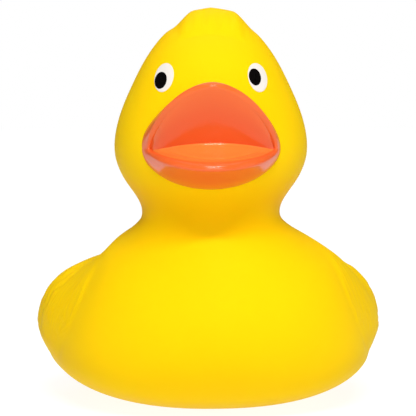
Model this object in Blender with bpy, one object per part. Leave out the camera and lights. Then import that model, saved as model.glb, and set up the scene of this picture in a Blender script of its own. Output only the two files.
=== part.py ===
# Rubber bath duck. The duck itself is one hollow vinyl moulding: hull, neck, head, open beak,
# wings, tail and tuft. A squeaker is pressed into the hole in its base: a turned plastic
# housing and, seated inside it, a thin reed disc with a tongue.
# The duck looks along -Y, its left side is +X, and it rests on Z = 0. Lengths are in metres.

import bpy
import bmesh
from math import sin, cos, atan2, pi, radians, sqrt, copysign
from mathutils import Vector
from mathutils.bvhtree import BVHTree

# Hull
TAIL_Y = 0.0445            # tip of the tail, behind the origin
TAIL_Z = 0.0431            # height of the tail's tip
BACK_Z = 0.0322            # height of the saddle between neck and tail
BREAST_Y = -0.0376         # foremost line of the breast
BREAST_Z = 0.0230          # height of that line
HULL_WIDTH = 0.0704        # across the hull, without the wings
KEEL_DEPTH = 0.0008        # how far the round belly would reach below the flat base

# Neck and head
NECK_WIDTH = 0.0284
NECK_Z = 0.0406            # height of the narrowest section
HEAD_WIDTH = 0.0396
HEAD_LENGTH = 0.0422       # front to back
HEAD_Y = -0.0151           # middle of the head
CROWN_Z = 0.0806           # top of the skull, under the tuft
HEAD_TURN = -5.0           # degrees that the head looks away from straight ahead
TURN_FROM = 0.028          # the neck twists between these two heights
TURN_TO = 0.042

# Tuft on the crown: three lobes
TUFT_WIDTH = 0.0172
TUFT_LENGTH = 0.0170
TUFT_HEIGHT = 0.00285
TUFT_SHIFT = 0.00045       # sideways, towards the duck's left
LOBE_GROOVE = 0.00025
TUFT_DEPTH = 0.0040        # the tuft rises from the crown's top this far down

# Tail feathers
TAIL_GROOVE = 0.0006
TAIL_FEATHER = 0.0062      # width of one feather
FEATHERS_START = 0.0160    # ahead of the tail's tip
FEATHERS_EASE = 0.0060     # over this length the grooves reach their depth
FEATHERS_DROP = 0.0090     # how far down the tail's tip they go

# Wings: a teardrop on each flank, from its round front to its tip
WING_FRONT_Y = -0.0129
WING_FRONT_Z = 0.0168
WING_TIP_AHEAD = 0.0095    # the wing's tip ahead of the tail's
WING_TIP_DROP = 0.0116     # and below it
WING_HALF = 0.0138         # half of the wing's height
WING_LIFT = 0.0022         # how far it stands off the hull
WING_EDGE = 0.0003         # height of the step at its edge
FEATHER_STEP = 0.0004
FEATHER_ROWS = 6
WING_VIEW = 25.0           # degrees above level from which the wing's outline is laid on the hull

# Beak
BEAK_WIDTH = 0.0274        # over the outer walls, at the corners
ROOT_SHIFT = -0.00035      # the outer walls sit this far towards the duck's right
BEAK_TOP_Z = 0.0696        # edge of the upper bill at its tip
UPPER_REACH = 0.0073       # tip of the upper bill ahead of the face
LOWER_REACH = 0.0082       # lip of the lower bill ahead of the face
LIP_Z = 0.0527
CORNER_Z = 0.0557
CREASE_Z = 0.0573          # middle of the crease between the bills
CREASE_PROUD = 0.0008      # crease ahead of the face
CREASE_INSET = 0.0010      # crease's ends inside the mouth's corners
MOUTH_WIDTH = 0.0256
MOUTH_SHIFT = 0.0003       # the opening sits this far towards the duck's left
UPPER_EDGE = 0.0014        # thickness of the upper bill's edge
LOWER_EDGE = 0.0018        # thickness of the lower lip
EDGE_LEAN = 0.0020         # makes the edges point more to the front than the palate does
WALL_BULGE = 0.0003        # how far the outer wall swells between root and edge
CORNER_BULGE = 0.0005      # more of that at the corners
CHIN_BULGE = 0.0009        # and more under the lip
UPPER_ROOT_Z = 0.0668      # where the upper bill leaves the face
LOWER_ROOT_Z = 0.0470
ROOT_SINK = 0.0030         # how far the beak's root goes into the head
PALATE_DISH = 0.00015
TONGUE_DISH = 0.0003

# Eyes: two ovals each, a little proud of the skin
EYE_X = 0.0094
EYE_Z = 0.0698
EYE_WIDTH = 0.0037
EYE_HEIGHT = 0.0058
EYE_LEAN = 18.0            # degrees that the oval's top leans inwards
PUPIL_WIDTH = 0.0024
PUPIL_HEIGHT = 0.0034
PUPIL_SHIFT = 0.0006       # both pupils sit towards the duck's right
PUPIL_DROP = 0.0003
WHITE_PROUD = 0.0002
PUPIL_PROUD = 0.0004

# Vinyl wall and the seat in the base
WALL = 0.0022
SEAT_Y = -0.0040           # centre of the hole in the base
RECESS_DIAMETER = 0.0150
RECESS_DEPTH = 0.0016
HOLE_DIAMETER = 0.0104
SEAT_LAND = 0.0040         # vinyl around the hole, beyond the recess
GAP = 0.0003               # clearance between fitted pieces

# Squeaker
FLANGE_THICK = 0.0010
BARB_PROUD = 0.0007
BARB_LENGTH = 0.0014
TUBE_LENGTH = 0.0036       # beyond the barb
TUBE_DIAMETER = 0.0084
BORE_DIAMETER = 0.0060
THROAT_DIAMETER = 0.0040
REED_DEPTH = 0.0040        # ledge of the reed, from the flange's face
REED_THICK = 0.0005
TONGUE_LENGTH = 0.0030
TONGUE_WIDTH = 0.0016
TONGUE_SLOT = 0.0004

AROUND = 44                # points around the skin


def spline(rows, at):
    """Catmull-Rom value of a table of numbers at a fractional row."""
    i = min(int(at), len(rows) - 2)
    f = at - i
    a, b, c, d = (rows[max(0, min(len(rows) - 1, i + k))] for k in (-1, 0, 1, 2))
    return [0.5 * (2 * q + (r - p) * f + (2 * p - 5 * q + 4 * r - s) * f * f
                   + (3 * q - p - 3 * r + s) * f ** 3) for p, q, r, s in zip(a, b, c, d)]


def ease(value):
    value = max(0.0, min(1.0, value))
    return value * value * (3 - 2 * value)


def power(value, exponent):
    return copysign(abs(value) ** exponent, value)


def hull_stations():
    """Sections from the tail's tip to the crown.

    Each has its upper point (y, z), its lower point (y, z), half its width, where along it the
    width is greatest, and how square its upper and lower halves are. Offsets from the named
    sizes are in units of the hull's length from breast to tail divided by 82.1.
    """
    u = (TAIL_Y - BREAST_Y) / 82.1
    half = HULL_WIDTH / 2
    neck = NECK_WIDTH / 2
    rows = [
        (TAIL_Y - 0.1 * u, TAIL_Z, TAIL_Y, TAIL_Z - 0.5 * u, 0.05 * u, 0.5, 2.0, 2.0),
        (TAIL_Y - 2.3 * u, TAIL_Z + 0.6 * u, TAIL_Y - 0.9 * u, TAIL_Z - 4.1 * u,
         half * 0.13, 0.5, 2.0, 2.0),
        (TAIL_Y - 7.0 * u, TAIL_Z - 1.8 * u, TAIL_Y - 3.2 * u, TAIL_Z - 11.1 * u,
         half * 0.30, 0.5, 2.0, 2.0),
        (TAIL_Y - 13.5 * u, TAIL_Z - 5.6 * u, TAIL_Y - 6.9 * u, TAIL_Z - 21.1 * u,
         half * 0.48, 0.52, 2.0, 2.0),
        (24.0 * u, BACK_Z + 2.0 * u, 31.0 * u, 11.0 * u, half * 0.68, 0.55, 2.0, 2.1),
        (16.0 * u, BACK_Z + 0.2 * u, 21.5 * u, 3.1 * u, half * 0.87, 0.56, 2.1, 2.3),
        (8.5 * u, BACK_Z, 9.0 * u, 0.4 * u - KEEL_DEPTH, half, 0.56, 2.3, 2.5),
        (4.5 * u, BACK_Z + 0.8 * u, -4.0 * u, -KEEL_DEPTH, half * 0.985, 0.57, 2.6, 2.5),
        (2.0 * u, BACK_Z + 2.2 * u, -17.0 * u, 0.9 * u - KEEL_DEPTH, half * 0.94, 0.59, 2.4, 2.3),
        (0.3 * u, BACK_Z + 3.7 * u, BREAST_Y + 9.1 * u, 3.7 * u, half * 0.865, 0.55, 2.5, 2.35),
        (-0.7 * u, NECK_Z - 3.0 * u, BREAST_Y + 1.8 * u, BREAST_Z - 10.5 * u,
         half * 0.765, 0.51, 2.4, 2.15),
        (-1.0 * u, NECK_Z - 1.4 * u, BREAST_Y, BREAST_Z, half * 0.65, 0.5, 2.3, 2.0),
        (-1.2 * u, NECK_Z - 0.4 * u, BREAST_Y + 3.1 * u, BREAST_Z + 10.0 * u,
         half * 0.495, 0.5, 2.1, 2.0),
        (-1.2 * u, NECK_Z + 1.2 * u, BREAST_Y + 6.0 * u, NECK_Z - 1.2 * u, neck, 0.5, 2.0, 2.0),
    ]
    jaw_z = NECK_Z + 3.5 * u
    head = ((0.0, 0.758, 0.768), (0.111, 0.905, 0.88), (0.237, 1.0, 0.97), (0.369, 0.995, 1.0),
            (0.506, 0.927, 0.976), (0.643, 0.817, 0.896), (0.77, 0.70, 0.754),
            (0.885, 0.555, 0.54), (0.967, 0.375, 0.294), (1.0, 0.0025, 0.004))
    for rise, wide, long in head:
        z = jaw_z + (CROWN_Z - jaw_z) * rise
        reach = HEAD_LENGTH / 2 * long
        lean = 0.2 * u * (1 - rise)
        rows.append((HEAD_Y + reach, z + lean, HEAD_Y - reach, z - lean,
                     HEAD_WIDTH / 2 * wide, 0.5, 2.0, 2.0))
    return rows


NECK_ROW = 13              # the neck's row in that table


def section(row, around):
    upper_y, upper_z, lower_y, lower_z, half, widest, top, bottom = row
    points = []
    for k in range(around):
        angle = 2 * pi * k / around
        share = 2 / (top if cos(angle) > 0 else bottom)
        level = power(cos(angle), share)
        t = widest * (1 - level) if level > 0 else widest - (1 - widest) * level
        points.append(Vector((half * power(sin(angle), share),
                              upper_y + (lower_y - upper_y) * t,
                              upper_z + (lower_z - upper_z) * t)))
    return points


def tuft_rise(x, y):
    across = abs((x - TUFT_SHIFT) / (TUFT_WIDTH / 2))
    along = abs((y - HEAD_Y) / (TUFT_LENGTH / 2))
    if across >= 1 or along >= 1:
        return 0.0
    rise = TUFT_HEIGHT * (1 - ease((across - 0.38) / 0.6)) * (1 - along ** (2 if y < HEAD_Y else 4))
    lobe = TUFT_WIDTH / 4
    place = (x - TUFT_SHIFT) / lobe + 0.5
    groove = (1 - abs(sin(pi * place))) ** 1.5 if across < 0.7 else 0.0
    return rise - LOBE_GROOVE * groove * ease(2 * (1 - along))


def tail_dent(point):
    if point.z < TAIL_Z - FEATHERS_DROP:
        return 0.0
    behind = ease((point.y - TAIL_Y + FEATHERS_START) / FEATHERS_EASE)
    place = point.x / TAIL_FEATHER + 0.5
    return TAIL_GROOVE * behind * (1 - abs(sin(pi * place))) ** 2


def turned(point):
    """Twist the neck, so that the head looks a little to one side."""
    angle = radians(HEAD_TURN) * ease((point.z - TURN_FROM) / (TURN_TO - TURN_FROM))
    return Vector((point.x * cos(angle) - point.y * sin(angle),
                   point.x * sin(angle) + point.y * cos(angle), point.z))


def loft(bm, rings, cap_start=True, cap_end=True):
    """Bridge rings of points, one after the other, and close the ends."""
    loops = []
    for ring in rings:
        verts = [bm.verts.new(p) for p in ring]
        loops.append([bm.edges.new((v, verts[(k + 1) % len(verts)])) for k, v in enumerate(verts)])
    for first, second in zip(loops, loops[1:]):
        bmesh.ops.bridge_loops(bm, edges=first + second)
    for loop, wanted in ((loops[0], cap_start), (loops[-1], cap_end)):
        if wanted:
            bmesh.ops.contextual_create(bm, geom=loop)
    bmesh.ops.recalc_face_normals(bm, faces=bm.faces)
    return bm


def flatten_base(bm, height):
    """Cut everything under a level away and close the cut with one flat face."""
    cut = bmesh.ops.bisect_plane(bm, geom=bm.verts[:] + bm.edges[:] + bm.faces[:], dist=1e-6,
                                 plane_co=(0, 0, height), plane_no=(0, 0, 1), clear_inner=True)
    rim = [e for e in cut["geom_cut"] if isinstance(e, bmesh.types.BMEdge)]
    bmesh.ops.contextual_create(bm, geom=rim)
    bmesh.ops.recalc_face_normals(bm, faces=bm.faces)


def skin_mesh():
    rows = hull_stations()
    stops = []
    for k in range(len(rows) - 1):
        steps = 3 if k < NECK_ROW or k > len(rows) - 4 else 2
        stops += [k + j / steps for j in range(steps)]
    stops.append(len(rows) - 1)
    rings = []
    for stop in stops:
        ring = section(spline(rows, stop), AROUND)
        for p in ring:
            p.z -= tail_dent(p)
            if p.z > CROWN_Z - TUFT_DEPTH:
                p.z += tuft_rise(p.x, p.y)
        rings.append(ring)
    bm = loft(bmesh.new(), rings)
    flatten_base(bm, 0.0)
    return bm


def cavity_mesh():
    """The hollow: a coarser copy of the skin, set in by the wall; tail's tip and crown stay solid."""
    rows = hull_stations()
    first, last = 3, len(rows) - 3
    rings = [section(rows[k], AROUND // 2) for k in range(first, last + 1)]
    bm = loft(bmesh.new(), rings)
    bm.normal_update()
    inset = [v.co - v.normal * WALL for v in bm.verts]
    for vert, place in zip(bm.verts, inset):
        vert.co = place
    flatten_base(bm, WALL)
    return bm


def wing_mesh(tree, side):
    """One wing: its outline is seen from the flank and laid on the hull, feather rows on top."""
    tilt = radians(WING_VIEW)
    inward = Vector((-side * cos(tilt), 0, -sin(tilt)))
    front = Vector((WING_FRONT_Y, WING_FRONT_Z))
    axis = Vector((TAIL_Y - WING_TIP_AHEAD, TAIL_Z - WING_TIP_DROP)) - front
    across = Vector((-axis.y, axis.x)).normalized()
    reference = HULL_WIDTH / 2 * 0.85

    def place(s, t, depth):
        round_front = sqrt(max(0.0, 1 - (1 - min(s, 0.3) / 0.3) ** 2))
        taper = cos(max(0.0, s - 0.3) / 0.7 * pi / 2 * 0.9) ** 0.8
        round_tip = sqrt(max(0.0, 1 - (max(s, 0.86) / 0.14 - 0.86 / 0.14) ** 2))
        spot = front + axis * s + across * (t * WING_HALF * round_front * taper * round_tip)
        start = Vector((side * reference, spot.x, spot.y)) - inward * HULL_WIDTH
        hit = tree.ray_cast(start, inward)[0]
        return hit - inward * depth

    def relief(s, t):
        inside = ease((1 - abs(t)) / 0.55) * ease(s / 0.18) * ease((1 - s) / 0.2)
        row = (s - 0.24 - 0.05 * abs(cos(1.5 * pi * t))) * FEATHER_ROWS / 0.75
        feather = row % 1.0 if row > 0 else 1.0
        return WING_EDGE + (WING_LIFT - WING_EDGE - FEATHER_STEP * (1 - feather)) * inside

    bm = bmesh.new()
    columns, lines = 40, 16
    bmesh.ops.create_grid(bm, x_segments=columns, y_segments=lines, size=1)
    edge = 1 - 1e-4
    for v in bm.verts:
        s, t = (v.co.x + 1) / 2, v.co.y
        s = 0.015 + 0.97 * s
        v.co = place(s, t, relief(s, t) if abs(t) < edge else WING_EDGE)
    raised = bmesh.ops.extrude_face_region(bm, geom=bm.faces[:])
    for v in [g for g in raised["geom"] if isinstance(g, bmesh.types.BMVert)]:
        v.co += inward * (WING_LIFT + WALL * 0.2)
    bmesh.ops.recalc_face_normals(bm, faces=bm.faces)
    return bm


def face_y(tree, x, z):
    hit = tree.ray_cast(Vector((x, -0.2, z)), Vector((0, 1, 0)))[0]
    return hit.y


def beak_mesh(tree):
    """Rings run from the root inside the head, over the outer wall and the edge, to the crease."""
    count = 48
    tip_y = HEAD_Y - HEAD_LENGTH / 2 - UPPER_REACH
    lip_y = HEAD_Y - HEAD_LENGTH / 2 - LOWER_REACH
    mouth = MOUTH_WIDTH / 2
    corner_y = face_y(tree, mouth, CORNER_Z) - CREASE_PROUD

    def edge_line(angle):
        c, s = cos(angle), sin(angle)
        if s >= 0:
            x, rise = power(c, 1.25), s ** 1.25
            return Vector((MOUTH_SHIFT + mouth * x,
                           corner_y + (tip_y - corner_y) * sqrt(max(0.0, 1 - x * x)),
                           CORNER_Z + (BEAK_TOP_Z - CORNER_Z) * rise))
        return Vector((MOUTH_SHIFT + mouth * c, corner_y + (lip_y - corner_y) * -s,
                       CORNER_Z + (CORNER_Z - LIP_Z) * s))

    def root_line(angle):
        c, s = cos(angle), sin(angle)
        if s >= 0:
            x, z = power(c, 1.25), CORNER_Z + (UPPER_ROOT_Z - CORNER_Z) * s ** 1.25
        else:
            x, z = c, CORNER_Z + (CORNER_Z - LOWER_ROOT_Z) * s
        x = ROOT_SHIFT + x * BEAK_WIDTH / 2
        return Vector((x, face_y(tree, x, z) + ROOT_SINK, z))

    def crease_line(angle):
        c = cos(angle)
        x = MOUTH_SHIFT + (mouth - CREASE_INSET) * c
        z = CREASE_Z - (CREASE_Z - CORNER_Z) * c * c
        return Vector((x, face_y(tree, x, z) - CREASE_PROUD, z))

    step = 2 * pi / count
    rings = [[] for _ in range(12)]
    for k in range(count):
        angle = step * k
        low = ease(0.5 - 1.5 * sin(angle))
        edge, root, crease = edge_line(angle), root_line(angle), crease_line(angle)
        tangent = (edge_line(angle + step / 2) - edge_line(angle - step / 2)).normalized()
        ahead = (edge - crease + Vector((0, -EDGE_LEAN, 0))).normalized()
        out = ahead.cross(tangent).normalized()
        if out.dot(edge - Vector((MOUTH_SHIFT, edge.y, CORNER_Z))) < 0:
            out = -out
        thick = (UPPER_EDGE + (LOWER_EDGE - UPPER_EDGE) * low) / 2
        centre = edge - ahead * thick
        bulge = out * (WALL_BULGE + CORNER_BULGE * cos(angle) ** 2
                       + CHIN_BULGE * max(0.0, -sin(angle)) ** 1.5)
        # The edge is round, from the wall's own direction to the inside of the mouth
        leave = root - centre + bulge * pi
        start = atan2(-leave.dot(ahead), leave.dot(out))
        over = []
        for share in (0, 0.25, 0.5, 0.75, 1):
            bend = start + (-pi / 2 - start) * share
            over.append(centre + ahead * (thick * cos(bend)) + out * (thick * sin(bend)))
        wall = [over[0].lerp(root, f) + bulge * sin(pi * f) for f in (0.66, 0.33)]
        dish = PALATE_DISH + (TONGUE_DISH - PALATE_DISH) * low
        inner = [over[-1].lerp(crease, f) + out * (dish * sin(pi * f) ** 2) for f in (0.25, 0.5, 0.75)]
        for ring, point in zip(rings, [root] + wall + over + inner + [crease]):
            ring.append(turned(point))
    bm = bmesh.new()
    loft(bm, rings, cap_end=False)
    bmesh.ops.remove_doubles(bm, verts=bm.verts, dist=0.00001)
    bmesh.ops.recalc_face_normals(bm, faces=bm.faces)
    return bm


def oval_mesh(tree, x, z, width, height, lean, proud):
    """A thin oval that follows the skin, sunk into it and proud by a little."""
    def ring(share, depth):
        points = []
        for k in range(24):
            a = 2 * pi * k / 24
            u, v = width / 2 * share * cos(a), height / 2 * share * sin(a)
            px = x + u * cos(lean) + v * sin(lean)
            pz = z - u * sin(lean) + v * cos(lean)
            hit, normal = tree.ray_cast(Vector((px, -0.2, pz)), Vector((0, 1, 0)))[:2]
            points.append(turned(hit + normal * depth))
        return points
    bm = bmesh.new()
    return loft(bm, [ring(0.4, -WALL * 0.4), ring(1.0, -WALL * 0.4), ring(1.0, proud * 0.5),
                     ring(0.93, proud), ring(0.6, proud), ring(0.25, proud)])


def cylinder_mesh(diameter, low, high, around=40):
    bm = bmesh.new()
    bmesh.ops.create_cone(bm, cap_ends=True, segments=around, radius1=diameter / 2,
                          radius2=diameter / 2, depth=high - low)
    bmesh.ops.translate(bm, verts=bm.verts, vec=(0, SEAT_Y, (low + high) / 2))
    return bm


def turned_mesh(profile, around=40):
    """Spin a closed profile of (radius, height) about the seat's axis."""
    bm = bmesh.new()
    verts = [bm.verts.new((r, 0, z)) for r, z in profile]
    edges = [bm.edges.new((v, verts[(k + 1) % len(verts)])) for k, v in enumerate(verts)]
    bmesh.ops.spin(bm, geom=verts + edges, cent=(0, 0, 0), axis=(0, 0, 1), angle=2 * pi,
                   steps=around, use_merge=True)
    bmesh.ops.remove_doubles(bm, verts=bm.verts, dist=0.00001)
    bmesh.ops.translate(bm, verts=bm.verts, vec=(0, SEAT_Y, 0))
    bmesh.ops.recalc_face_normals(bm, faces=bm.faces)
    return bm


def material(name, colour, roughness):
    made = bpy.data.materials.new(name)
    made.use_nodes = True
    shader = made.node_tree.nodes["Principled BSDF"]
    shader.inputs["Base Color"].default_value = (*colour, 1.0)
    shader.inputs["Roughness"].default_value = roughness
    shader.inputs["Metallic"].default_value = 0.0
    return made


def add_object(name, bm, look):
    mesh = bpy.data.meshes.new(name)
    bm.to_mesh(mesh)
    bm.free()
    mesh.materials.append(look)
    made = bpy.data.objects.new(name, mesh)
    bpy.context.scene.collection.objects.link(made)
    return made


def combine(target, tool, operation):
    """Join or cut with a tool that stays in the scene as a wire outline."""
    tool.hide_render = True
    tool.display_type = 'WIRE'
    modifier = target.modifiers.new(tool.name, 'BOOLEAN')
    modifier.operation = operation
    modifier.solver = 'EXACT'
    modifier.material_mode = 'TRANSFER'
    modifier.object = tool


def build_body(vinyl, orange, white, black):
    skin = skin_mesh()
    tree = BVHTree.FromBMesh(skin)
    wings = [wing_mesh(tree, side) for side in (1, -1)]
    beak = beak_mesh(tree)
    ovals = []
    for side in (1, -1):
        x, lean = side * EYE_X, radians(EYE_LEAN) * -side
        ovals.append((oval_mesh(tree, x, EYE_Z, EYE_WIDTH, EYE_HEIGHT, lean, WHITE_PROUD), white))
        ovals.append((oval_mesh(tree, x - PUPIL_SHIFT, EYE_Z - PUPIL_DROP, PUPIL_WIDTH,
                                PUPIL_HEIGHT, lean, PUPIL_PROUD), black))
    cavity = cavity_mesh()
    for mesh in [skin, cavity] + wings:
        for v in mesh.verts:
            v.co = turned(v.co)
    body = add_object("duck_body", skin, vinyl)
    for name, mesh in zip(("left_wing_form", "right_wing_form"), wings):
        combine(body, add_object(name, mesh, vinyl), 'UNION')
    combine(body, add_object("beak_form", beak, orange), 'UNION')
    for k, (mesh, look) in enumerate(ovals):
        combine(body, add_object("eye_form_%d" % (k + 1), mesh, look), 'UNION')

    # The hollow keeps clear of the thicker land around the squeaker's hole
    hollow = add_object("hollow", cavity, vinyl)
    land_top = RECESS_DEPTH + WALL
    land = cylinder_mesh(RECESS_DIAMETER + 2 * SEAT_LAND, -0.001, land_top)
    combine(hollow, add_object("land", land, vinyl), 'DIFFERENCE')
    combine(body, hollow, 'DIFFERENCE')
    recess = cylinder_mesh(RECESS_DIAMETER, -0.002, RECESS_DEPTH)
    combine(body, add_object("recess", recess, vinyl), 'DIFFERENCE')
    hole = cylinder_mesh(HOLE_DIAMETER, -0.003, land_top + 0.002)
    combine(body, add_object("hole", hole, vinyl), 'DIFFERENCE')
    return body


def build_squeaker(plastic, reed_look):
    flange_top = RECESS_DEPTH - GAP
    flange_low = flange_top - FLANGE_THICK
    stem = HOLE_DIAMETER / 2 - GAP
    barb_low = RECESS_DEPTH + WALL + GAP
    barb_high = barb_low + BARB_LENGTH
    end = barb_high + TUBE_LENGTH
    ledge = flange_low + REED_DEPTH
    tube, bore, throat = TUBE_DIAMETER / 2, BORE_DIAMETER / 2, THROAT_DIAMETER / 2
    profile = [
        (bore, flange_low), (RECESS_DIAMETER / 2 - GAP, flange_low),
        (RECESS_DIAMETER / 2 - GAP, flange_top), (stem, flange_top), (stem, barb_low),
        (stem + GAP + BARB_PROUD, barb_low), (tube, barb_high), (tube, end),
        (throat, end), (throat, ledge), (bore, ledge),
    ]
    add_object("squeaker_housing", turned_mesh(profile), plastic)

    # The reed's disc lies against the ledge; a U-shaped slot frees its tongue
    top = ledge - GAP
    disc = cylinder_mesh(BORE_DIAMETER - 2 * GAP, top - REED_THICK, top, 32)
    reed = add_object("squeaker_reed", disc, reed_look)
    outer_x, start = TONGUE_WIDTH / 2 + TONGUE_SLOT, -TONGUE_LENGTH / 2
    slot = bmesh.new()
    shape = [(-outer_x, start), (-TONGUE_WIDTH / 2, start), (-TONGUE_WIDTH / 2, -start),
             (TONGUE_WIDTH / 2, -start), (TONGUE_WIDTH / 2, start), (outer_x, start),
             (outer_x, TONGUE_SLOT - start), (-outer_x, TONGUE_SLOT - start)]
    face = slot.faces.new([slot.verts.new((x, SEAT_Y + y, top - 2 * REED_THICK)) for x, y in shape])
    grown = bmesh.ops.extrude_face_region(slot, geom=[face])
    rise = [g for g in grown["geom"] if isinstance(g, bmesh.types.BMVert)]
    bmesh.ops.translate(slot, verts=rise, vec=(0, 0, 3 * REED_THICK))
    bmesh.ops.recalc_face_normals(slot, faces=slot.faces)
    combine(reed, add_object("reed_slot", slot, reed_look), 'DIFFERENCE')


def main():
    for old in list(bpy.data.objects):
        bpy.data.objects.remove(old, do_unlink=True)
    vinyl = material("yellow_vinyl", (0.98, 0.72, 0.006), 0.45)
    orange = material("orange_lacquer", (0.90, 0.14, 0.035), 0.25)
    white = material("eye_white", (0.93, 0.93, 0.88), 0.4)
    black = material("eye_black", (0.004, 0.004, 0.005), 0.3)
    plastic = material("natural_plastic", (0.80, 0.79, 0.74), 0.5)
    reed_look = material("reed_plastic", (0.55, 0.56, 0.58), 0.4)
    build_body(vinyl, orange, white, black)
    build_squeaker(plastic, reed_look)


main()
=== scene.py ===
# Bath duck: the finished look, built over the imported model.
# The skin, beak and eyes follow the same sections as the solids, only finer.
# The squeaker keeps its solids and gets its own plastics.
import bpy
import bmesh
from math import sin, cos, tan, atan2, pi, radians, sqrt, copysign, exp
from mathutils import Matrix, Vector
from mathutils.bvhtree import BVHTree


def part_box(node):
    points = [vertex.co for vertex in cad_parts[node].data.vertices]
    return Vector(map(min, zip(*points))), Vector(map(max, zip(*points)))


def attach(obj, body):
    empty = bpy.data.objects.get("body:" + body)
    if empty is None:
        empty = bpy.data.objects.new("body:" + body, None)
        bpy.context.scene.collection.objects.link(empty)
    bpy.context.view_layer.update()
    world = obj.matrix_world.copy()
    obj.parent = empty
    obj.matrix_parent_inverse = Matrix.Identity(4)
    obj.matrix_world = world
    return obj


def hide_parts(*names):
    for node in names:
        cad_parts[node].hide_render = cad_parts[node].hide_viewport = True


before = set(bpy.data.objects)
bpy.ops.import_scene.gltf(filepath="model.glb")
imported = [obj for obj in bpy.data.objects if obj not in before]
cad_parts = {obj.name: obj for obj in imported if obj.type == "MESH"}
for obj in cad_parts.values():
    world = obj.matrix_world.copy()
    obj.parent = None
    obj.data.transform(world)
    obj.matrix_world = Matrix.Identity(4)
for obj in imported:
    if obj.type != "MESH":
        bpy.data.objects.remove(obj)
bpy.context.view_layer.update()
print("packed model loaded:", ", ".join(sorted(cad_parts)))

mm = 0.001


# small helpers

def ease(value):
    value = max(0.0, min(1.0, value))
    return value * value * (3 - 2 * value)


def power(value, exponent):
    return copysign(abs(value) ** exponent, value)


def spline(rows, at):
    # Catmull-Rom through a table of numbers
    i = min(int(at), len(rows) - 2)
    f = at - i
    a, b, c, d = (rows[max(0, min(len(rows) - 1, i + k))] for k in (-1, 0, 1, 2))
    return [0.5 * (2 * q + (r - p) * f + (2 * p - 5 * q + 4 * r - s) * f * f
                   + (3 * q - p - 3 * r + s) * f ** 3) for p, q, r, s in zip(a, b, c, d)]


def ringOf(bm, points):
    # a circle of edges laid through the points
    ring = bmesh.ops.create_circle(bm, segments=len(points), radius=mm)["verts"]
    for vert, point in zip(ring, points):
        vert.co = point
    return list({edge for vert in ring for edge in vert.link_edges})


def loftRings(bm, rings, closeStart=True, closeEnd=True):
    loops = [ringOf(bm, ring) for ring in rings]
    for first, second in zip(loops, loops[1:]):
        bmesh.ops.bridge_loops(bm, edges=first + second)
    for loop, wanted in ((loops[0], closeStart), (loops[-1], closeEnd)):
        if wanted:
            bmesh.ops.contextual_create(bm, geom=loop)
    bmesh.ops.recalc_face_normals(bm, faces=bm.faces)


def pieceFrom(name, bm, material):
    mesh = bpy.data.meshes.new(name)
    bm.to_mesh(mesh)
    bm.free()
    mesh.shade_smooth()
    mesh.materials.append(material)
    piece = bpy.data.objects.new(name, mesh)
    bpy.context.scene.collection.objects.link(piece)
    return piece


def applyModifiers(piece):
    # bake the live modifiers into the piece's own mesh
    graph = bpy.context.evaluated_depsgraph_get()
    mesh = bpy.data.meshes.new_from_object(piece.evaluated_get(graph))
    piece.modifiers.clear()
    piece.data = mesh
    return piece


def startMaterial(name):
    material = bpy.data.materials.new(name)
    material.use_nodes = True
    nodes = material.node_tree.nodes
    return material, nodes, material.node_tree.links, nodes["Principled BSDF"]


# the turn of the head, shared by all that sits on it

neck = {
    "turn": -5.0,              # degrees
    "from": 28.0 * mm,         # the turn grows between these heights
    "to": 42.0 * mm,
}


def turned(point):
    angle = radians(neck["turn"]) * ease((point.z - neck["from"]) / (neck["to"] - neck["from"]))
    return Vector((point.x * cos(angle) - point.y * sin(angle),
                   point.x * sin(angle) + point.y * cos(angle), point.z))


# skin

skin = {
    "tailY": 44.5 * mm,        # tip of the tail
    "tailZ": 43.1 * mm,
    "backZ": 32.2 * mm,        # lowest point of the back
    "breastY": -37.6 * mm,     # foremost point of the hull
    "breastZ": 23.0 * mm,
    "hullWidth": 70.4 * mm,    # without the wings
    "keelDepth": 0.8 * mm,     # what the flat base cuts away
    "neckWidth": 28.4 * mm,
    "neckZ": 40.6 * mm,        # narrowest place of the neck
    "jawUp": 3.5 * mm,         # where the head starts above it
    "headWidth": 39.7 * mm,
    "headLength": 42.2 * mm,
    "headY": -15.1 * mm,
    "crownZ": 80.6 * mm,
    "around": 60,              # cage points around a section
    "smoothing": 2,            # subdivision levels over the cage
}

tuft = {
    "width": 18.6 * mm,
    "length": 17.0 * mm,
    "height": 2.85 * mm,
    "shift": 0.45 * mm,        # towards the duck's left
    "under": 4.0 * mm,         # it rises from the crown's top this far down
    "sag": 0.07,               # share that it loses on the way out
    "sagTo": 0.6,
    "slope": (0.42, 0.5),      # where its side starts to fall, and over how much of the half width
    "groove": 0.25 * mm,
    "lobe": 2.75 * mm,         # from groove to groove
    "lobeFrom": 1.4 * mm,
    "lobeRun": 4.0 * mm,       # the grooves deepen over this length from the middle
}

tail = {
    "groove": 0.6 * mm,
    "feather": 6.2 * mm,       # width of a tail feather
    "depth": 9.0 * mm,         # the grooves reach this far below the tip
    "length": 16.0 * mm,       # and this far ahead of it
    "fade": 6.0 * mm,
}

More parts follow.
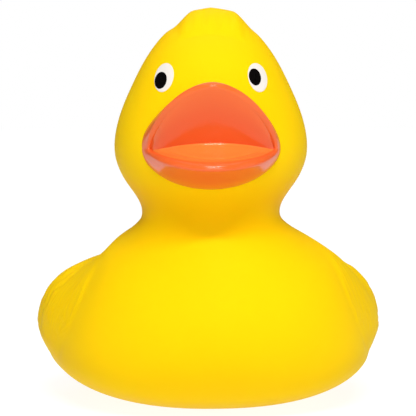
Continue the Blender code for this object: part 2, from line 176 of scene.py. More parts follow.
wing = {
    "fronts": (                # y and z of the nose: the duck's left wing, its right wing
        (-20.0 * mm, 20.0 * mm),
        (-15.1 * mm, 17.3 * mm),
    ),
    "tip": (35.0 * mm, 31.5 * mm),
    "half": 14.2 * mm,         # half of its height
    "flank": 10.0 * mm,        # nothing nearer the middle plane belongs to it
    "reference": 0.85,         # share of the hull's half width at which its heights are true
    "nose": 0.3,               # share of its length that is rounded at the front
    "blunt": 2.6,              # exponent of the upper half of the nose
    "turn": 5.0 * mm,          # over this height the lower half of the nose turns into the upper
    "end": 0.86,               # from here on its tip is rounded
    "shoulder": 1.35,          # how much further it reaches up at the front
    "melt": (0.42, 0.2),       # where the upper edge stops melting into the back, over how much
    "lift": 1.8 * mm,
    "flatter": 0.85,           # share of the lift lost at the top of the rear half
    "edge": 0.16 * mm,         # height of the step at its edge
    "valley": 0.25 * mm,       # depth
    "valleyOut": 0.7 * mm,     # middle of the valley outside the edge
    "valleyHalf": 1.1 * mm,
    "rows": 12,                # feather rows along it
    "rowsFrom": 0.24,
    "step": 0.3 * mm,          # height of a row over the next
    "scallop": 0.03,
    "rowEnd": 0.86,            # share of a row after which it falls to the next
    "brim": 0.75 * mm,         # the duck's left shoulder runs on fuller into the wing
    "brimPlace": (-11.3 * mm, 30.3 * mm),
    "brimSize": (6.0 * mm, 4.5 * mm),
    "view": 25.0,              # degrees above level from which the outline is laid on the flank
}


def skinStations():
    # each row: y and z of the section's top, y and z of its bottom, half width, how far down it is
    # widest, and the exponents of its upper and lower half
    half = skin["hullWidth"] / 2
    neckHalf = skin["neckWidth"] / 2
    tailY, tailZ, backZ = skin["tailY"], skin["tailZ"], skin["backZ"]
    breastY, breastZ, neckZ = skin["breastY"], skin["breastZ"], skin["neckZ"]
    keel = skin["keelDepth"]
    rows = [
        (tailY - 0.1 * mm, tailZ, tailY, tailZ - 0.5 * mm, 0.05 * mm, 0.5, 2.0, 2.0),
        (tailY - 2.3 * mm, tailZ + 0.6 * mm, tailY - 0.9 * mm, tailZ - 4.1 * mm,
         half * 0.13, 0.5, 2.0, 2.0),
        (tailY - 7.0 * mm, tailZ - 1.8 * mm, tailY - 3.2 * mm, tailZ - 11.1 * mm,
         half * 0.30, 0.5, 2.0, 2.0),
        (tailY - 13.5 * mm, tailZ - 5.6 * mm, tailY - 6.9 * mm, tailZ - 21.1 * mm,
         half * 0.48, 0.52, 2.0, 2.0),
        (24.0 * mm, backZ + 2.0 * mm, 31.0 * mm, 11.0 * mm, half * 0.68, 0.55, 2.0, 2.1),
        (16.0 * mm, backZ + 0.2 * mm, 21.5 * mm, 3.1 * mm, half * 0.87, 0.56, 2.1, 2.3),
        (8.5 * mm, backZ, 9.0 * mm, 0.4 * mm - keel, half, 0.56, 2.3, 2.4),
        (4.5 * mm, backZ + 0.8 * mm, -4.0 * mm, -keel, half * 0.985, 0.57, 2.6, 2.4),
        (2.0 * mm, backZ + 2.2 * mm, -17.0 * mm, 0.9 * mm - keel, half * 0.94, 0.59, 2.35, 2.3),
        (0.3 * mm, backZ + 3.7 * mm, breastY + 9.1 * mm, 3.7 * mm,
         half * 0.865, 0.55, 2.35, 2.35),
        (-0.7 * mm, neckZ - 3.0 * mm, breastY + 1.8 * mm, breastZ - 10.5 * mm,
         half * 0.765, 0.51, 2.25, 2.15),
        (-1.0 * mm, neckZ - 1.4 * mm, breastY, breastZ, half * 0.65, 0.5, 2.15, 2.0),
        (-1.2 * mm, neckZ - 0.4 * mm, breastY + 3.1 * mm, breastZ + 10.0 * mm,
         half * 0.495, 0.5, 2.1, 2.0),
        (-1.2 * mm, neckZ + 1.2 * mm, breastY + 6.0 * mm, neckZ - 1.2 * mm,
         neckHalf, 0.5, 2.0, 2.0),
    ]
    jawZ = neckZ + skin["jawUp"]
    # of the head: height, width and length as shares
    headShares = ((0.0, 0.758, 0.768), (0.111, 0.905, 0.88), (0.237, 1.0, 0.97),
                  (0.369, 0.995, 1.0), (0.506, 0.927, 0.976), (0.643, 0.817, 0.896),
                  (0.77, 0.70, 0.754), (0.885, 0.555, 0.54), (0.967, 0.375, 0.294),
                  (1.0, 0.0025, 0.004))
    for rise, wide, long in headShares:
        z = jawZ + (skin["crownZ"] - jawZ) * rise
        reach = skin["headLength"] / 2 * long
        lean = 0.2 * mm * (1 - rise)
        rows.append((skin["headY"] + reach, z + lean, skin["headY"] - reach, z - lean,
                     skin["headWidth"] / 2 * wide, 0.5, 2.0, 2.0))
    return rows


def sectionOf(row, around):
    upperY, upperZ, lowerY, lowerZ, half, widest, top, bottom = row
    points = []
    for k in range(around):
        angle = 2 * pi * k / around
        share = 2 / (top if cos(angle) > 0 else bottom)
        level = power(cos(angle), share)
        t = widest * (1 - level) if level > 0 else widest - (1 - widest) * level
        points.append(Vector((half * power(sin(angle), share),
                              upperY + (lowerY - upperY) * t, upperZ + (lowerZ - upperZ) * t)))
    return points


def tuftRise(x, y):
    # a low cushion on the crown with shallow grooves between its lobes in front
    across = abs((x - tuft["shift"]) / (tuft["width"] / 2))
    along = abs((y - skin["headY"]) / (tuft["length"] / 2))
    if across >= 1 or along >= 1:
        return 0.0
    slopeFrom, slopeSpan = tuft["slope"]
    rise = tuft["height"] * (1 - tuft["sag"] * ease(across / tuft["sagTo"]))
    rise *= 1 - ease((across - slopeFrom) / slopeSpan)
    rise *= 1 - along ** (2 if y < skin["headY"] else 4)
    lobe = (0.5 + 0.5 * cos(2 * pi * (x - tuft["lobeFrom"]) / tuft["lobe"])) ** 1.5
    front = ease((skin["headY"] - y) / tuft["lobeRun"])
    front *= ease(3 * (1 - along)) * ease(3 * (1 - across))
    return rise - tuft["groove"] * lobe * front


def tailDent(point):
    if point.z < skin["tailZ"] - tail["depth"]:
        return 0.0
    behind = ease((point.y - skin["tailY"] + tail["length"]) / tail["fade"])
    place = point.x / tail["feather"] + 0.5
    return tail["groove"] * behind * (1 - abs(sin(pi * place))) ** 2


def wingPlace(point):
    # where a point of the flank lies on the wing: along its axis, across it, and how far inside
    tilt = radians(wing["view"])
    reference = skin["hullWidth"] / 2 * wing["reference"]
    level = point.z + (reference - abs(point.x)) * tan(tilt)
    front = Vector(wing["fronts"][0 if point.x > 0 else 1])
    axis = Vector(wing["tip"]) - front
    across = Vector((-axis.y, axis.x)).normalized()
    spot = Vector((point.y, level)) - front
    s = spot.dot(axis) / axis.length_squared
    if abs(point.x) < wing["flank"] or not 0.0 < s < 1.0:
        return s, 2.0, -1.0
    t = spot.dot(across)
    nose, end = wing["nose"], wing["end"]
    rising = ease(t / wing["turn"])
    blunt = 2.0 + (wing["blunt"] - 2.0) * rising
    roundFront = max(0.0, 1 - (1 - min(s, nose) / nose) ** blunt) ** (1 / blunt)
    taper = cos(max(0.0, s - nose) / (1 - nose) * pi / 2 * 0.9) ** 0.8
    roundTip = sqrt(max(0.0, 1 - ((max(s, end) - end) / (1 - end)) ** 2))
    reach = wing["half"] * roundFront * taper * roundTip
    reach *= 1 + (wing["shoulder"] - 1) * rising * (1 - ease((s - nose) / 0.3))
    return s, t / max(reach, 0.1 * mm), reach - abs(t)


def brimRise(point):
    # a gentle swelling of the duck's left shoulder
    if point.x <= wing["flank"]:
        return 0.0
    (y, z), (long, high) = wing["brimPlace"], wing["brimSize"]
    return wing["brim"] * exp(-((point.y - y) / long) ** 2 - ((point.z - z) / high) ** 2)


def wingRise(point):
    # a soft valley outside the wing's edge, then the swelling of the wing with its feather rows
    s, t, inside = wingPlace(point)
    rise = brimRise(point)
    if inside < -0.5 * wing["half"] or not 0.0 < s < 1.0 or abs(point.x) < wing["flank"]:
        return rise
    # over the shoulder the upper edge melts into the back
    meltFrom, meltSpan = wing["melt"]
    ahead = 1 - ease((s - meltFrom) / meltSpan)
    melt = ease((s - 0.06) / 0.12) * ahead if t > 0 else 0.0
    clear = 1 - max(melt * ease(t / 0.4), ease((t - 0.6) / 0.4) * ahead)
    fromValley = (inside + wing["valleyOut"]) / wing["valleyHalf"]
    rise -= wing["valley"] * exp(-fromValley ** 2) * ease(s / 0.05) * clear
    if inside > -0.5 * mm:
        rise += wing["edge"] * ease((inside + 0.5 * mm) / (1.4 * mm)) * clear
    if inside <= 0:
        return rise
    fullness = 0.5 + 0.5 * melt if t > 0 else 0.3
    crown = ease((1 - abs(t)) / fullness) * ease(s / 0.26) * ease((1 - s) / 0.2)
    crown *= 1 - wing["flatter"] * ease((s - 0.5) / 0.25) * ease((t + 0.1) / 0.5)
    row = s - wing["rowsFrom"] - wing["scallop"] * abs(cos(2.5 * pi * t))
    row *= wing["rows"] / 0.75
    part = row % 1.0 if row > 0 else 1.0
    if row > 0 and part > wing["rowEnd"]:
        part = wing["rowEnd"] * (1 - ease((part - wing["rowEnd"]) / (1 - wing["rowEnd"])))
    return rise + (wing["lift"] - wing["edge"] - wing["step"] * (1 - part)) * crown


def makeSkin(material):
    # a cage of rings through the sections, closer on the hull and at the crown, and smoothed
    rows = skinStations()
    neckRow, crownRow = 13, len(rows) - 3
    stops = []
    for k in range(len(rows) - 1):
        steps = 3 if k < neckRow or k >= crownRow else 2
        stops += [k + j / steps for j in range(steps)]
    stops.append(len(rows) - 1)
    cage = bmesh.new()
    loftRings(cage, [sectionOf(spline(rows, stop), skin["around"]) for stop in stops])
    piece = pieceFrom("duckSkin", cage, material)
    smoothing = piece.modifiers.new("smoothing", "SUBSURF")
    smoothing.levels = skin["smoothing"]
    smoothing.render_levels = skin["smoothing"]
    return applyModifiers(piece)


def shapeSkin(piece):
    # tuft, tail feathers and wings are raised on the fine mesh; two attributes are kept
    # for the feather lines and the painted shade in the fold of the neck
    bm = bmesh.new()
    bm.from_mesh(piece.data)
    tilt = radians(wing["view"])
    place = bm.verts.layers.float_vector.new("featherPlace")
    depth = bm.verts.layers.float.new("neckPaintedShade")
    for vert in bm.verts:
        point = vert.co.copy()
        t, inside = wingPlace(point)[1:]
        vert[place] = (point.y / vinyl["lineUnit"], t,
                       ease((inside - vinyl["lineInset"]) / vinyl["lineFade"]))
        # painted shade of the neck's fold, strongest at its height and fading above and below
        vert[depth] = exp(-((point.z - vinyl["foldZ"]) / vinyl["foldHalf"]) ** 2)
        rise = wingRise(point)
        if rise:
            vert.co += Vector((copysign(cos(tilt), point.x), 0, sin(tilt))) * rise
        vert.co.z -= tailDent(point)
        if point.z > skin["crownZ"] - tuft["under"]:
            vert.co.z += tuftRise(point.x, point.y)
    bm.to_mesh(piece.data)
    tree = BVHTree.FromBMesh(bm)
    bm.free()
    return tree


pocket = {
    "around": 64,
    "profile": (               # radius and height of the cut, from below the base upwards
        (7.5 * mm, -2.0 * mm), (7.5 * mm, 1.6 * mm), (5.2 * mm, 1.6 * mm),
        (5.2 * mm, 3.8 * mm), (7.0 * mm, 3.8 * mm), (7.0 * mm, 12.0 * mm),
    ),
    "sharp": 50.0,             # degrees past which an edge stays sharp
}


def finishSkin(piece):
    # turn the head, flatten the base and sink the squeaker's pocket
    for vert in piece.data.vertices:
        vert.co = turned(vert.co)
        vert.co.z = max(vert.co.z, 0.0)
    seatLow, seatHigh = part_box("squeaker_housing")
    middle = (seatLow + seatHigh) / 2
    cutter = bmesh.new()
    turns = [2 * pi * k / pocket["around"] for k in range(pocket["around"])]
    loftRings(cutter, [[(r * cos(a), r * sin(a), z) for a in turns] for r, z in pocket["profile"]])
    bmesh.ops.translate(cutter, verts=cutter.verts, vec=(middle.x, middle.y, 0))
    plug = pieceFrom("pocketCutter", cutter, piece.data.materials[0])
    cut = piece.modifiers.new("pocket", "BOOLEAN")
    cut.operation = "DIFFERENCE"
    cut.solver = "EXACT"
    cut.object = plug
    applyModifiers(piece)
    bpy.data.objects.remove(plug)
    piece.data.shade_smooth()
    piece.data.set_sharp_from_angle(angle=radians(pocket["sharp"]))


vinyl = {
    "colours": ((0.985, 0.600, 0.002), (0.990, 0.630, 0.003)),
    "foldShadeColour": (0.90, 0.50, 0.001),     # painted shade: darker yellow in the fold of the neck under the head
    "foldZ": 43.0 * mm,
    "foldHalf": 5.5 * mm,
    "cloudScale": 38,
    "grainScale": 1400,
    "grainStrength": 0.12,
    "roughness": (0.46, 0.56),
    "specular": 0.03,
    "specularTint": (1.0, 0.8, 0.25),
    "glow": 0.2,                           # share of light that goes through the skin
    "glowReach": 2.5 * mm,
    "lineUnit": 50.0 * mm,                 # feather lines: length of a unit along the wing
    "lineInset": 2.0 * mm,                 # they start this far inside the wing's edge
    "lineFade": 3.0 * mm,
    "lineStretch": (19.0, 1.6, 0.0),
    "lineScale": 2.2,
    "lineWaver": 0.3,
    "lineStrength": 0.42,
    "lineDepth": 0.5 * mm,
}


def vinylMaterial():
    material, nodes, links, shader = startMaterial("yellowVinyl")
    coords = nodes.new("ShaderNodeTexCoord")
    cloud = nodes.new("ShaderNodeTexNoise")
    cloud.inputs["Scale"].default_value = vinyl["cloudScale"]
    cloud.inputs["Detail"].default_value = 2
    tint = nodes.new("ShaderNodeMix")
    tint.data_type = "RGBA"
    tint.inputs["A"].default_value = (*vinyl["colours"][0], 1)
    tint.inputs["B"].default_value = (*vinyl["colours"][1], 1)
    links.new(coords.outputs["Object"], cloud.inputs["Vector"])
    links.new(cloud.outputs["Fac"], tint.inputs["Factor"])
    # painted shade: the fold of the neck is mixed towards a darker yellow
    neckPaintedShade = nodes.new("ShaderNodeAttribute")
    neckPaintedShade.attribute_name = "neckPaintedShade"
    neckShadeMix = nodes.new("ShaderNodeMix")
    neckShadeMix.data_type = "RGBA"
    neckShadeMix.inputs["B"].default_value = (*vinyl["foldShadeColour"], 1)
    links.new(neckPaintedShade.outputs["Fac"], neckShadeMix.inputs["Factor"])
    links.new(tint.outputs["Result"], neckShadeMix.inputs["A"])
    links.new(neckShadeMix.outputs["Result"], shader.inputs["Base Color"])
    grain = nodes.new("ShaderNodeTexNoise")
    grain.inputs["Scale"].default_value = vinyl["grainScale"]
    grain.inputs["Detail"].default_value = 3
    links.new(coords.outputs["Object"], grain.inputs["Vector"])
    spread = nodes.new("ShaderNodeMapRange")
    spread.inputs["To Min"].default_value = vinyl["roughness"][0]
    spread.inputs["To Max"].default_value = vinyl["roughness"][1]
    links.new(grain.outputs["Fac"], spread.inputs["Value"])
    links.new(spread.outputs["Result"], shader.inputs["Roughness"])
    skinBump = nodes.new("ShaderNodeBump")
    skinBump.inputs["Strength"].default_value = vinyl["grainStrength"]
    skinBump.inputs["Distance"].default_value = 0.05 * mm
    links.new(grain.outputs["Fac"], skinBump.inputs["Height"])
    # feather lines that run up and down the wings
    feather = nodes.new("ShaderNodeAttribute")
    feather.attribute_name = "featherPlace"
    stretch = nodes.new("ShaderNodeMapping")
    stretch.inputs["Scale"].default_value = vinyl["lineStretch"]
    lines = nodes.new("ShaderNodeTexNoise")
    lines.inputs["Scale"].default_value = vinyl["lineScale"]
    lines.inputs["Detail"].default_value = 2
    lines.inputs["Distortion"].default_value = vinyl["lineWaver"]
    inside = nodes.new("ShaderNodeSeparateXYZ")
    height = nodes.new("ShaderNodeMath")
    height.operation = "MULTIPLY"
    links.new(feather.outputs["Vector"], stretch.inputs["Vector"])
    links.new(stretch.outputs["Vector"], lines.inputs["Vector"])
    links.new(feather.outputs["Vector"], inside.inputs["Vector"])
    links.new(lines.outputs["Fac"], height.inputs[0])
    links.new(inside.outputs["Z"], height.inputs[1])
    featherBump = nodes.new("ShaderNodeBump")
    featherBump.inputs["Strength"].default_value = vinyl["lineStrength"]
    featherBump.inputs["Distance"].default_value = vinyl["lineDepth"]
    links.new(height.outputs["Value"], featherBump.inputs["Height"])
    links.new(skinBump.outputs["Normal"], featherBump.inputs["Normal"])
    links.new(featherBump.outputs["Normal"], shader.inputs["Normal"])
    shader.inputs["Specular IOR Level"].default_value = vinyl["specular"]
    shader.inputs["Specular Tint"].default_value = (*vinyl["specularTint"], 1)
    shader.inputs["Subsurface Weight"].default_value = vinyl["glow"]
    shader.inputs["Subsurface Radius"].default_value = (1.0, 0.45, 0.05)
    shader.inputs["Subsurface Scale"].default_value = vinyl["glowReach"]
    return material


yellowVinyl = vinylMaterial()
duckSkin = makeSkin(yellowVinyl)
flankTree = shapeSkin(duckSkin)
print("skin:", len(duckSkin.data.polygons), "faces")


# beak

beak = {
    "width": 27.4 * mm,        # at the root
    "rootShift": -0.35 * mm,
    "topZ": 69.6 * mm,         # edge of the upper bill at its tip
    "upperReach": 7.3 * mm,    # ahead of the face
    "lowerReach": 8.05 * mm,
    "lipZ": 52.4 * mm,
    "cornerZ": 55.7 * mm,
    "arch": (1.15, 1.25),      # exponents of the upper edge: across, up
    "cornerRound": 0.3,        # how softly the edge turns back at the corners
    "creaseZ": 57.3 * mm,      # middle of the crease between the bills
    "creaseProud": 1.2 * mm,
    "creaseInset": 1.3 * mm,
    "creaseShift": 0.45 * mm,
    "seam": 0.004 * mm,        # the last ring stays this open until its doubles are merged
    "mouthWidth": 25.6 * mm,
    "mouthShift": 0.3 * mm,
    "upperEdge": 1.6 * mm,     # thickness of the edge above, below and at the corners
    "lowerEdge": 1.8 * mm,
    "sideEdge": 0.8 * mm,
    "upperRootZ": 66.8 * mm,
    "lowerRootZ": 47.0 * mm,
    "rootSink": 3.0 * mm,
    "wallBulge": 0.3 * mm,     # swelling of the outer wall, and more of it at corners and chin
    "cornerBulge": 0.35 * mm,
    "chinBulge": 0.9 * mm,
    "palateDish": 0.15 * mm,
    "tongueDish": 0.3 * mm,
    "tongueGroove": 0.16 * mm,
    "grooveRing": 0.8,         # where the groove runs, as a share of the tongue
    "grooveHalf": 0.16,
    "creaseBead": 0.14 * mm,
    "beadAt": 0.955,           # share of the way from the lip to the crease
    "beadHalf": 0.022,
    "around": 160,
    "bends": 12,               # steps round the edge
    "wallShares": (0.85, 0.7, 0.55, 0.4, 0.27, 0.15, 0.06),
    "merge": (0.01 * mm, 0.03 * mm),       # doubles, then slivers
}


def faceY(x, z):
    return flankTree.ray_cast(Vector((x, -0.2, z)), Vector((0, 1, 0)))[0].y


def makeBeak(material):
    # rings run from the root in the head, over the outer wall and the edge, to the crease
    tipY = skin["headY"] - skin["headLength"] / 2 - beak["upperReach"]
    lipY = skin["headY"] - skin["headLength"] / 2 - beak["lowerReach"]
    mouth, shift, cornerZ = beak["mouthWidth"] / 2, beak["mouthShift"], beak["cornerZ"]
    cornerY = faceY(mouth, cornerZ) - beak["creaseProud"]

    def forward(share):
        soft = beak["cornerRound"]
        return (sqrt(share * share + soft * soft) - soft) / (sqrt(1 + soft * soft) - soft)

    def edgeLine(angle):
        c, s = cos(angle), sin(angle)
        if s >= 0:
            across, up = beak["arch"]
            x, rise = power(c, across), s ** up
            reach = forward(sqrt(max(0.0, 1 - x * x)))
            return Vector((shift + mouth * x, cornerY + (tipY - cornerY) * reach,
                           cornerZ + (beak["topZ"] - cornerZ) * rise))
        return Vector((shift + mouth * c, cornerY + (lipY - cornerY) * forward(-s),
                       cornerZ + (cornerZ - beak["lipZ"]) * s))

    def rootLine(angle):
        c, s = cos(angle), sin(angle)
        if s >= 0:
            bend = beak["arch"][1]
            x, z = power(c, bend), cornerZ + (beak["upperRootZ"] - cornerZ) * s ** bend
        else:
            x, z = c, cornerZ + (cornerZ - beak["lowerRootZ"]) * s
        x = beak["rootShift"] + x * beak["width"] / 2
        return Vector((x, faceY(x, z) + beak["rootSink"], z))

    def creaseLine(angle):
        c = cos(angle)
        x = shift + beak["creaseShift"] + (mouth - beak["creaseInset"]) * c
        z = beak["creaseZ"] - (beak["creaseZ"] - cornerZ) * c * c
        return Vector((x, faceY(x, z) - beak["creaseProud"], z + beak["seam"] * sin(angle)))

    bends = [k / beak["bends"] for k in range(beak["bends"] + 1)]
    wallShares = beak["wallShares"]
    innerShares = [k / 26 for k in range(1, 23)] + [0.87 + 0.012 * k for k in range(1, 11)]
    step = 2 * pi / beak["around"]
    rings = [[] for _ in range(2 + len(wallShares) + len(bends) + len(innerShares))]
    tones = [[] for _ in rings]
    for k in range(beak["around"]):
        angle = step * k
        c = cos(angle)
        low = ease(0.5 - 1.5 * sin(angle))
        edge, root, crease = edgeLine(angle), rootLine(angle), creaseLine(angle)
        along = edgeLine(angle + step / 2) - edgeLine(angle - step / 2)
        ahead = (edge - crease - Vector((0, 2 * mm, 0))).normalized()
        ahead = ahead.lerp(Vector((0, -1, 0)), 0.9 * c ** 6).normalized()
        out = Vector((along.z, 0, -along.x))           # square to the edge as seen from the front
        out = (out - ahead * out.dot(ahead)).normalized()
        thick = (beak["upperEdge"] + (beak["lowerEdge"] - beak["upperEdge"]) * low) / 2
        thick = beak["sideEdge"] / 2 + (thick - beak["sideEdge"] / 2) * abs(sin(angle)) ** 0.8
        deep = thick * (0.6 + low)
        centre = edge - ahead * deep
        bulge = out * (beak["wallBulge"] + beak["cornerBulge"] * c * c
                       + beak["chinBulge"] * max(0.0, -sin(angle)) ** 1.5)
        # the edge is round from the wall's own direction to the inside of the mouth
        leave = root - centre + bulge * pi
        start = atan2(-leave.dot(ahead) * thick, leave.dot(out) * deep)
        over = []
        for bend in bends:
            b = start + (-pi / 2 - start) * bend
            over.append(centre + ahead * (deep * cos(b)) + out * (thick * sin(b)))
        wall = [over[0].lerp(root, f) + bulge * sin(pi * f) for f in wallShares]
        dish = beak["palateDish"] + (beak["tongueDish"] - beak["palateDish"]) * low
        inner = []
        for f in innerShares:
            point = over[-1].lerp(crease, f) + out * (dish * sin(pi * f) ** 2)
            if sin(angle) < 0:
                ring = (c * c + (1 - f) ** 2) / beak["grooveRing"] ** 2
                groove = exp(-((ring - 1) / beak["grooveHalf"]) ** 2)
                bead = exp(-((f - beak["beadAt"]) / beak["beadHalf"]) ** 2)
                bead *= ease((1 - abs(c)) / 0.2)
                point += out * (beak["tongueGroove"] * groove - beak["creaseBead"] * bead)
            inner.append(point)
        for ring, point in zip(rings, [root] + wall + over + inner + [crease]):
            ring.append(turned(point))
        # painted shade deep in the palate and a little under the lower bill, painted light on the
        # tongue
        palate = ease(0.5 + 2.5 * sin(angle))
        shades = [0.5 - 0.15 * low] * (1 + len(wall) + len(over))
        for f in innerShares:
            tongueTone, palateTone = 0.5 + 0.5 * ease(f / 0.15), 0.5 - 0.45 * ease(f / 0.6)
            shades.append(tongueTone + (palateTone - tongueTone) * palate)
        for tone, shade in zip(tones, shades + [0.6]):
            tone.append(shade)
    bm = bmesh.new()
    loftRings(bm, rings, closeEnd=False)
    # each vertex carries the lacquer's painted light and shade
    layer = bm.verts.layers.float.new("paintedLightAndShade")
    for vert, shade in zip(bm.verts, [shade for tone in tones for shade in tone]):
        vert[layer] = shade
    doubles, slivers = beak["merge"]
    bmesh.ops.remove_doubles(bm, verts=bm.verts, dist=doubles)
    bmesh.ops.dissolve_degenerate(bm, dist=slivers, edges=bm.edges)
    bmesh.ops.recalc_face_normals(bm, faces=bm.faces)
    return pieceFrom("beakLacquer", bm, material)


lacquer = {
    # painted shade on the palate, painted light on the tongue, the edge between
    "palate": (0.80, 0.098, 0.018),
    "edge": (0.86, 0.138, 0.024),
    "tongue": (0.86, 0.215, 0.036),
    "cloudScale": 90,
    "blotch": 0.10,            # unevenness of the tone
    "peelScale": 420,
    "peelStrength": 0.06,
    "peelDepth": 0.1 * mm,
    "roughness": (0.26, 0.34),
    "specular": 0.05,
    "coat": 0.6,
    "coatRoughness": 0.16,
    "glow": 0.1,
    "glowReach": 1.5 * mm,
}


def lacquerMaterial():
    material, nodes, links, shader = startMaterial("orangeLacquer")
    coords = nodes.new("ShaderNodeTexCoord")
    cloud = nodes.new("ShaderNodeTexNoise")
    cloud.inputs["Scale"].default_value = lacquer["cloudScale"]
    cloud.inputs["Detail"].default_value = 2
    # painted shade in the palate and under the lower bill, painted light on the tongue, with a
    # random blotch
    tone = nodes.new("ShaderNodeAttribute")
    tone.attribute_name = "paintedLightAndShade"
    blotch = nodes.new("ShaderNodeMath")
    blotch.operation = "MULTIPLY_ADD"
    blotch.inputs[1].default_value = lacquer["blotch"]
    tint = nodes.new("ShaderNodeValToRGB")
    deep, light = tint.color_ramp.elements
    deep.color, light.color = (*lacquer["palate"], 1), (*lacquer["tongue"], 1)
    tint.color_ramp.elements.new(0.5).color = (*lacquer["edge"], 1)
    links.new(coords.outputs["Object"], cloud.inputs["Vector"])
    links.new(cloud.outputs["Fac"], blotch.inputs[0])
    links.new(tone.outputs["Fac"], blotch.inputs[2])
    links.new(blotch.outputs["Value"], tint.inputs["Fac"])
    links.new(tint.outputs["Color"], shader.inputs["Base Color"])
    orangePeel = nodes.new("ShaderNodeTexNoise")
    orangePeel.inputs["Scale"].default_value = lacquer["peelScale"]
    orangePeel.inputs["Detail"].default_value = 2
    ripple = nodes.new("ShaderNodeBump")
    ripple.inputs["Strength"].default_value = lacquer["peelStrength"]
    ripple.inputs["Distance"].default_value = lacquer["peelDepth"]
    links.new(coords.outputs["Object"], orangePeel.inputs["Vector"])
    links.new(orangePeel.outputs["Fac"], ripple.inputs["Height"])
    links.new(ripple.outputs["Normal"], shader.inputs["Normal"])
    links.new(ripple.outputs["Normal"], shader.inputs["Coat Normal"])
    spread = nodes.new("ShaderNodeMapRange")
    spread.inputs["To Min"].default_value = lacquer["roughness"][0]
    spread.inputs["To Max"].default_value = lacquer["roughness"][1]
    links.new(cloud.outputs["Fac"], spread.inputs["Value"])
    links.new(spread.outputs["Result"], shader.inputs["Roughness"])
    shader.inputs["Specular IOR Level"].default_value = lacquer["specular"]
    shader.inputs["Coat Weight"].default_value = lacquer["coat"]
    shader.inputs["Coat Roughness"].default_value = lacquer["coatRoughness"]
    shader.inputs["Subsurface Weight"].default_value = lacquer["glow"]
    shader.inputs["Subsurface Radius"].default_value = (1.0, 0.3, 0.1)
    shader.inputs["Subsurface Scale"].default_value = lacquer["glowReach"]
    return material


beakLacquer = makeBeak(lacquerMaterial())
print("beak:", len(beakLacquer.data.polygons), "faces")


# eyes

eyes = {
    "x": 9.4 * mm,
    "z": 69.8 * mm,
    "width": 3.7 * mm,
    "height": 5.8 * mm,
    "lean": 18.0,              # degrees, tops inwards
    "pupilWidth": 2.35 * mm,
    "pupilHeight": 3.4 * mm,
    "pupilShift": 0.6 * mm,
    "pupilDrop": (-0.1 * mm, 0.6 * mm),    # duck's left, duck's right
    "whiteProud": 0.12 * mm,
    "pupilProud": 0.22 * mm,
    "sunk": 0.3 * mm,
    "around": 64,
    "white": ((0.79, 0.74, 0.68), (0.82, 0.77, 0.71)),
    "black": ((0.0015, 0.001, 0.001), (0.003, 0.002, 0.002)),
}


def addOval(bm, x, z, width, height, lean, proud):
    # a thin oval cushion laid on the face
    def ring(share, depth):
        points = []
        for k in range(eyes["around"]):
            a = 2 * pi * k / eyes["around"]
            u, v = width / 2 * share * cos(a), height / 2 * share * sin(a)
            px, pz = x + u * cos(lean) + v * sin(lean), z - u * sin(lean) + v * cos(lean)
            hit, normal = flankTree.ray_cast(Vector((px, -0.2, pz)), Vector((0, 1, 0)))[:2]
            points.append(turned(hit + normal * depth))
        return points

    sunk = eyes["sunk"]
    edge = [(1 - 0.05 * (1 - cos(b)), proud * sin(b)) for b in (0.4, 0.8, 1.2, pi / 2)]
    rings = [ring(0.4, -sunk), ring(1.0, -sunk), ring(1.0, 0)] + [ring(*e) for e in edge]
    rings += [ring(share, proud) for share in (0.86, 0.72, 0.58, 0.44, 0.3, 0.16, 0.04)]
    loftRings(bm, rings)


def makeEyes(whiteMaterial, blackMaterial):
    whites, pupils = bmesh.new(), bmesh.new()
    for side, drop in zip((1, -1), eyes["pupilDrop"]):
        lean = radians(eyes["lean"]) * -side
        addOval(whites, side * eyes["x"], eyes["z"], eyes["width"], eyes["height"], lean,
                eyes["whiteProud"])
        addOval(pupils, side * eyes["x"] - eyes["pupilShift"], eyes["z"] - drop,
                eyes["pupilWidth"], eyes["pupilHeight"], lean, eyes["pupilProud"])
    return (pieceFrom("eyeWhites", whites, whiteMaterial),
            pieceFrom("eyePupils", pupils, blackMaterial))


def paintMaterial(name, first, second, roughness, scale, gloss=0.15):
    # brushed-on paint: a faint unevenness of tone and gloss
    material, nodes, links, shader = startMaterial(name)
    coords = nodes.new("ShaderNodeTexCoord")
    cloud = nodes.new("ShaderNodeTexNoise")
    cloud.inputs["Scale"].default_value = scale
    tint = nodes.new("ShaderNodeMix")
    tint.data_type = "RGBA"
    tint.inputs["A"].default_value = (*first, 1)
    tint.inputs["B"].default_value = (*second, 1)
    spread = nodes.new("ShaderNodeMapRange")
    spread.inputs["To Min"].default_value = roughness - 0.05
    spread.inputs["To Max"].default_value = roughness + 0.05
    bump = nodes.new("ShaderNodeBump")
    bump.inputs["Strength"].default_value = 0.08
    bump.inputs["Distance"].default_value = 0.05 * mm
    links.new(coords.outputs["Object"], cloud.inputs["Vector"])
    links.new(cloud.outputs["Fac"], tint.inputs["Factor"])
    links.new(cloud.outputs["Fac"], spread.inputs["Value"])
    links.new(cloud.outputs["Fac"], bump.inputs["Height"])
    links.new(tint.outputs["Result"], shader.inputs["Base Color"])
    links.new(spread.outputs["Result"], shader.inputs["Roughness"])
    links.new(bump.outputs["Normal"], shader.inputs["Normal"])
    shader.inputs["Specular IOR Level"].default_value = gloss
    return material


eyeWhites, eyePupils = makeEyes(
    paintMaterial("eyeWhitePaint", *eyes["white"], roughness=0.4, scale=700),
    paintMaterial("eyeBlackPaint", *eyes["black"], roughness=0.5, scale=500, gloss=0.03))
print("eyes: whites and pupils")

finishSkin(duckSkin)
print("base flattened, pocket sunk")


# squeaker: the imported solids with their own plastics

squeaker = {
    "housing": ((0.80, 0.79, 0.74), (0.84, 0.83, 0.78)),
    "reed": ((0.50, 0.51, 0.53), (0.58, 0.59, 0.61)),
    "roughness": 0.45,
    "scale": 300,
}

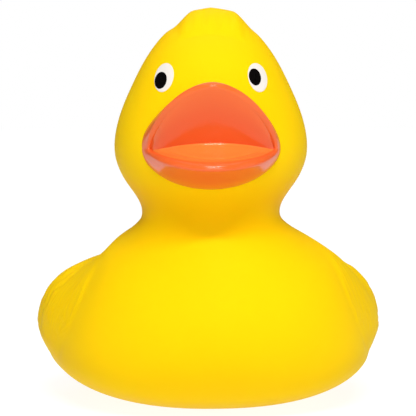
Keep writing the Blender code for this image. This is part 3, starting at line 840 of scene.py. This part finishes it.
for node, look in (("squeaker_housing", "housing"), ("squeaker_reed", "reed")):
    plastic = paintMaterial("squeaker" + look.capitalize(), *squeaker[look],
                            roughness=squeaker["roughness"], scale=squeaker["scale"])
    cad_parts[node].data.materials.clear()
    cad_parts[node].data.materials.append(plastic)
print("squeaker dressed")

for piece, finish in ((duckSkin, "yellow_vinyl"), (beakLacquer, "orange_lacquer"),
                      (eyeWhites, "eye_white"), (eyePupils, "eye_black")):
    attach(piece, "root")
    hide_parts("duck_body")


# studio

studio = {
    "azimuth": -5.0,           # degrees
    "elevation": 6.0,
    "distance": 0.6,
    "aim": (0, 0, 40.4 * mm),
    "frameWidth": 88.4 * mm,   # seen at the aim
    "shiftX": -0.0067,
    "lamps": (                 # place, width, height, watts
        ((0.0, -1.15, 0.30), 0.6, 0.4, 5.2),
        ((0.0, -0.75, 0.95), 0.55, 0.07, 9.0),
        ((0.0, 0.1, 1.15), 1.2, 1.0, 3.5),
        ((-1.1, -0.45, 0.40), 0.7, 0.9, 1.1),
        ((1.1, -0.45, 0.40), 0.7, 0.9, 1.2),
        ((0.0, 0.9, 0.9), 0.9, 0.6, 1.6),
    ),
    "world": 0.12,
    "floorRadius": 0.75,
    "floorTone": 0.25,
    "floorGlow": 0.86,         # as seen by the camera and in reflections
    "floorBounce": 0.66,       # as it lights the duck
}


def floorMaterial():
    # a plain white sweep with a glow of its own, which keeps the duck's shadow
    material, nodes, links, shader = startMaterial("paleFloor")
    shader.inputs["Base Color"].default_value = (*[studio["floorTone"]] * 3, 1)
    shader.inputs["Roughness"].default_value = 1.0
    shader.inputs["Specular IOR Level"].default_value = 0.0
    shader.inputs["Emission Color"].default_value = (1, 1, 1, 1)
    path = nodes.new("ShaderNodeLightPath")
    seen = nodes.new("ShaderNodeMath")
    seen.operation = "MAXIMUM"
    seenToo = nodes.new("ShaderNodeMath")
    seenToo.operation = "MAXIMUM"
    glow = nodes.new("ShaderNodeMapRange")
    glow.inputs["To Min"].default_value = studio["floorBounce"]
    glow.inputs["To Max"].default_value = studio["floorGlow"]
    links.new(path.outputs["Is Camera Ray"], seen.inputs[0])
    links.new(path.outputs["Is Glossy Ray"], seen.inputs[1])
    links.new(seen.outputs["Value"], seenToo.inputs[0])
    links.new(path.outputs["Is Transmission Ray"], seenToo.inputs[1])
    links.new(seenToo.outputs["Value"], glow.inputs["Value"])
    links.new(glow.outputs["Result"], shader.inputs["Emission Strength"])
    return material


def makeStudio():
    scene = bpy.context.scene
    ground = bmesh.new()
    bmesh.ops.create_circle(ground, cap_ends=True, segments=96, radius=studio["floorRadius"])
    floor = pieceFrom("studioFloor", ground, floorMaterial())

    world = bpy.data.worlds.new("studioWorld")
    world.use_nodes = True
    scene.world = world
    nodes, links = world.node_tree.nodes, world.node_tree.links
    background = nodes["Background"]
    background.inputs["Color"].default_value = (1, 1, 1, 1)
    background.inputs["Strength"].default_value = studio["world"]
    backdrop = nodes.new("ShaderNodeBackground")
    backdrop.inputs["Color"].default_value = (1, 1, 1, 1)
    path = nodes.new("ShaderNodeLightPath")
    mix = nodes.new("ShaderNodeMixShader")
    links.new(path.outputs["Is Camera Ray"], mix.inputs["Fac"])
    links.new(background.outputs["Background"], mix.inputs[1])
    links.new(backdrop.outputs["Background"], mix.inputs[2])
    links.new(mix.outputs["Shader"], nodes["World Output"].inputs["Surface"])

    aim = Vector(studio["aim"])
    for k, (place, width, height, watts) in enumerate(studio["lamps"]):
        lamp = bpy.data.lights.new("softbox%d" % (k + 1), "AREA")
        lamp.shape = "RECTANGLE"
        lamp.size, lamp.size_y, lamp.energy = width, height, watts
        box = bpy.data.objects.new(lamp.name, lamp)
        box.location = place
        box.rotation_euler = (aim - Vector(place)).to_track_quat("-Z", "Y").to_euler()
        scene.collection.objects.link(box)

    azimuth, elevation = radians(studio["azimuth"]), radians(studio["elevation"])
    back = Vector((sin(azimuth) * cos(elevation), -cos(azimuth) * cos(elevation), sin(elevation)))
    lens = bpy.data.cameras.new("studioCamera")
    lens.sensor_width = 36
    lens.lens = 36 * studio["distance"] / studio["frameWidth"]
    lens.shift_x = studio["shiftX"]
    lens.clip_start = 0.01
    camera = bpy.data.objects.new("studioCamera", lens)
    camera.location = aim + back * studio["distance"]
    camera.rotation_euler = (-back).to_track_quat("-Z", "Y").to_euler()
    scene.collection.objects.link(camera)
    scene.camera = camera
    scene.view_settings.view_transform = "Standard"


makeStudio()
print("studio ready")
